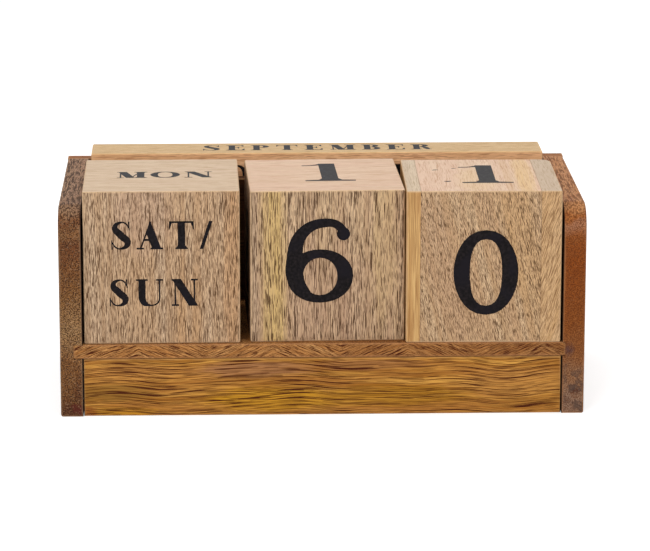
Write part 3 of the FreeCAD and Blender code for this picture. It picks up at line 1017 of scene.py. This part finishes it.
def unite(piece, other):
    """Adds a slab to a piece."""
    pick(piece)
    bpy.ops.object.modifier_add(type="BOOLEAN")
    union = piece.modifiers[-1]
    union.operation = "UNION"
    union.solver = "EXACT"
    union.object = other
    bpy.ops.object.modifier_apply(modifier=union.name)
    bpy.data.objects.remove(other)


def trim(height, upward):
    """Cuts the active piece off above or below a height of the line."""
    bpy.ops.mesh.select_all(action="SELECT")
    bpy.ops.mesh.bisect(
        plane_co=(0, height, 0), plane_no=(0, 1, 0), use_fill=True,
        clear_outer=upward, clear_inner=not upward)


# %% One master of every letter
letter_weight = 1.14
masters = {}
for sign, (width, strokes) in signs.items():
    weight = letter_weight if sign in letters else 1.0
    master = stroke_slab(strokes[0], weight)
    for stroke in strokes[1:]:
        unite(master, stroke_slab(stroke, weight))
    pick(master)
    bpy.ops.object.mode_set(mode="EDIT")
    trim(0.0, False)
    trim(1.0, True)
    bpy.ops.object.mode_set(mode="OBJECT")
    outward()
    bpy.ops.object.shade_flat()
    masters[sign] = master
bpy.data.objects.remove(nib)
print("letters", len(masters), "faces", sum(len(m.data.polygons) for m in masters.values()))

# %% [markdown]
# ## Ink
# The print is a thin slab of near-black ink, half of it in the wood and half proud of
# it. It is slightly mottled and nearly without shine. Seen flat, as on the tops, it
# takes up the light from behind and looks dark grey.

# %% Ink finish
print_ink, tree, shader = start_material("printed_black_ink")
where = put(tree, "TexCoord").outputs["Object"]
mottle = noise(tree, where, 900.0, 3.0)
cloud = noise(tree, where, 120.0, 2.0)
black = blend(tree, rise(tree, mottle, 0.35, 0.75), colour(16, 13, 14), colour(34, 29, 30))
black = blend(tree, rise(tree, cloud, 0.4, 0.7), black, colour(24, 21, 26))
tree.links.new(black, shader.inputs["Base Color"])
tree.links.new(plus(tree, times(tree, mottle, 0.25), 0.33), shader.inputs["Roughness"])
ink_specular = 0.06
shader.inputs["Specular IOR Level"].default_value = ink_specular
bump = put(tree, "Bump", {"Strength": 0.3, "Distance": 0.05 * mm, "Height": mottle})
tree.links.new(bump.outputs[0], shader.inputs["Normal"])

# %% Faces to print on
# the way to the right, up and out of each face; the bars' backs read upright when the bar is rolled
across = {
    "front": ((1, 0, 0), (0, 0, 1), (0, -1, 0)),
    "right": ((0, 1, 0), (0, 0, 1), (1, 0, 0)),
    "back": ((-1, 0, 0), (0, 0, 1), (0, 1, 0)),
    "left": ((0, -1, 0), (0, 0, 1), (-1, 0, 0)),
    "top": ((1, 0, 0), (0, 1, 0), (0, 0, 1)),
    "bottom": ((1, 0, 0), (0, -1, 0), (0, 0, -1)),
    "rolled_back": ((1, 0, 0), (0, 0, -1), (0, 1, 0)),
}
ink_depth = 0.03 * mm


def face_matrix(place, face):
    """Takes x to the right and y up a face of a block, and z out of it, to the calendar's frame."""
    middle, half, turn = place
    right, up, out = across[face]
    axes = Matrix((right, up, out)).transposed().to_4x4()
    out_by = half[next(axis for axis in range(3) if out[axis])]
    turned = Matrix.Translation(middle) @ Matrix.Rotation(turn, 4, "Z")
    return turned @ axes @ Matrix.Translation((0, 0, out_by))


def line_width(text, size, gap):
    return sum(signs[sign][0] for sign in text) * size + gap * (len(text) - 1)


def print_line(place, face, text, size=11.0, gap=2.5, middle_x=0.0, middle_y=0.0):
    """Copies of the masters set in a line on a face, sizes in millimetres."""
    onto = face_matrix(place, face)
    x = middle_x - line_width(text, size, gap) / 2
    printed = []
    for sign in text:
        letter = masters[sign].copy()
        letter.data = masters[sign].data.copy()
        bpy.context.scene.collection.objects.link(letter)
        shift = Matrix.Translation((x * mm, (middle_y - size / 2) * mm, 0))
        scale = Matrix.Diagonal((size * mm, size * mm, ink_depth / slab_depth, 1))
        letter.data.transform(onto @ shift @ scale)
        printed.append(letter)
        x += signs[sign][0] * size + gap
    return printed


def print_block(name, body, place, lines):
    """All the lines printed on one block, joined to one piece of ink."""
    printed = []
    for line in lines:
        printed += print_line(place, *line)
    pick(printed[0])
    for letter in printed[1:]:
        letter.select_set(True)
    bpy.ops.object.join()
    ink = bpy.context.object
    ink.name = name
    ink.data.materials.clear()
    ink.data.materials.append(print_ink)
    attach(ink, body)
    print(name, len(printed), "signs,", len(ink.data.polygons), "faces")


# %% Print the cubes
# face, text, height, gap, and the middle's place across and up the face, in millimetres
cube_lines = {
    "weekday_cube": [
        ("front", "SAT/", 11.0, 2.2, 0.15, 12.8), ("front", "SUN", 10.7, 2.9, -3.1, -9.8),
        ("top", "MON", 11.2, 1.7, 1.2, 0.5), ("right", "TUE"), ("back", "WED"), ("left", "THU"),
        ("bottom", "FRI")],
    "left_number_cube": [
        ("front", "6", 33.3, 0.0, -3.0, 2.2), ("top", "1", 33.0, 0.0, 2.1, 4.2), ("right", "0", 33.4),
        ("back", "7", 33.4), ("left", "8", 33.4), ("bottom", "2", 33.4)],
    "right_number_cube": [
        ("front", "0", 33.5, 0.0, 0.8, -2.2), ("top", "1", 33.4, 0.0, 2.1, 1.5),
        ("top", "~", 33.4, 0.0, -13.46, 1.5), ("right", "2", 33.4), ("back", "3", 33.4),
        ("left", "4", 33.4), ("bottom", "5", 33.4)],
}
for cube, lines in cube_lines.items():
    print_block(cube + "_ink", cube, cube_places[cube], lines)

# %% Print the bars
bar_months = {
    "bottom_month_bar": {"top": "JANUARY", "front": "FEBRUARY", "bottom": "MARCH", "rolled_back": "APRIL"},
    "middle_month_bar": {"top": "MAY", "front": "JUNE", "bottom": "JULY", "rolled_back": "AUGUST"},
    "top_month_bar": {
        "top": "SEPTEMBER", "front": "OCTOBER", "bottom": "NOVEMBER", "rolled_back": "DECEMBER"},
}
for bar, months in bar_months.items():
    lines = [(face, month, 10.0, 3.0 if face == "top" else 2.7, 0.3, 0.3 if face == "top" else 0.0)
             for face, month in months.items()]
    print_block(bar + "_ink", bar, bar_places[bar], lines)
for master in masters.values():
    bpy.data.objects.remove(master)

# %% [markdown]
# ## Studio
# The calendar stands on a plain white floor. Three soft lamps light it: a wide one
# overhead that makes the tops pale, a large one in front on the left, and a weaker
# one on the right. The world adds an even fill, and looks white where it is seen
# directly, in a reflection or through glass. There the floor also adds some white of
# its own, so that it reads as white and still keeps the shadow.

# %% Floor
floor_size = 12.0
floor_glow = 0.5


def seen_share(tree):
    """1 for rays from the camera, from a reflection or through glass, 0 for the light's own."""
    rays = put(tree, "LightPath").outputs
    seen = reckon(tree, "MAXIMUM", rays["Is Camera Ray"], rays["Is Glossy Ray"])
    return reckon(tree, "MAXIMUM", seen, rays["Is Transmission Ray"])


bpy.ops.mesh.primitive_plane_add(size=floor_size, location=(0, 0, 0))
floor = bpy.context.object
floor.name = "studio_floor"
floor_white, tree, shader = start_material("studio_floor_white")
shader.inputs["Base Color"].default_value = (0.8, 0.8, 0.8, 1.0)
shader.inputs["Roughness"].default_value = 0.9
shader.inputs["Specular IOR Level"].default_value = 0.0
glow = put(tree, "Emission", {"Strength": times(tree, seen_share(tree), floor_glow)})
both = put(tree, "AddShader", {0: shader.outputs[0], 1: glow.outputs[0]})
tree.links.new(both.outputs[0], tree.nodes["Material Output"].inputs["Surface"])
floor.data.materials.append(floor_white)

# %% World and lamps
world = bpy.data.worlds.new("studio_world")
world.use_nodes = True
bpy.context.scene.world = world
tree = world.node_tree
fill_light = 0.35
strength = plus(tree, fill_light, times(tree, seen_share(tree), 1.0 - fill_light))
tree.links.new(strength, tree.nodes["Background"].inputs["Strength"])
tree.nodes["Background"].inputs["Color"].default_value = (1.0, 1.0, 1.0, 1.0)


def soft_lamp(name, place, aim, width, height, power):
    """A rectangular lamp at a place, turned to shine at a point."""
    bpy.ops.object.light_add(type="AREA", location=place)
    lamp = bpy.context.object
    lamp.name = name
    lamp.data.shape = "RECTANGLE"
    lamp.data.size = width
    lamp.data.size_y = height
    lamp.data.energy = power
    way = Matrix.Translation(aim).translation - lamp.location
    lamp.rotation_euler = way.to_track_quat("-Z", "Y").to_euler()


soft_lamp("overhead_lamp", (0.0, 0.15, 1.3), (0.0, 0.0, 0.05), 1.2, 0.9, 8.5)
soft_lamp("front_left_lamp", (-0.8, -1.5, 0.9), (0.0, 0.0, 0.05), 1.0, 1.0, 15.0)
soft_lamp("front_right_lamp", (1.0, -1.4, 0.7), (0.0, 0.0, 0.05), 0.8, 0.8, 8.0)
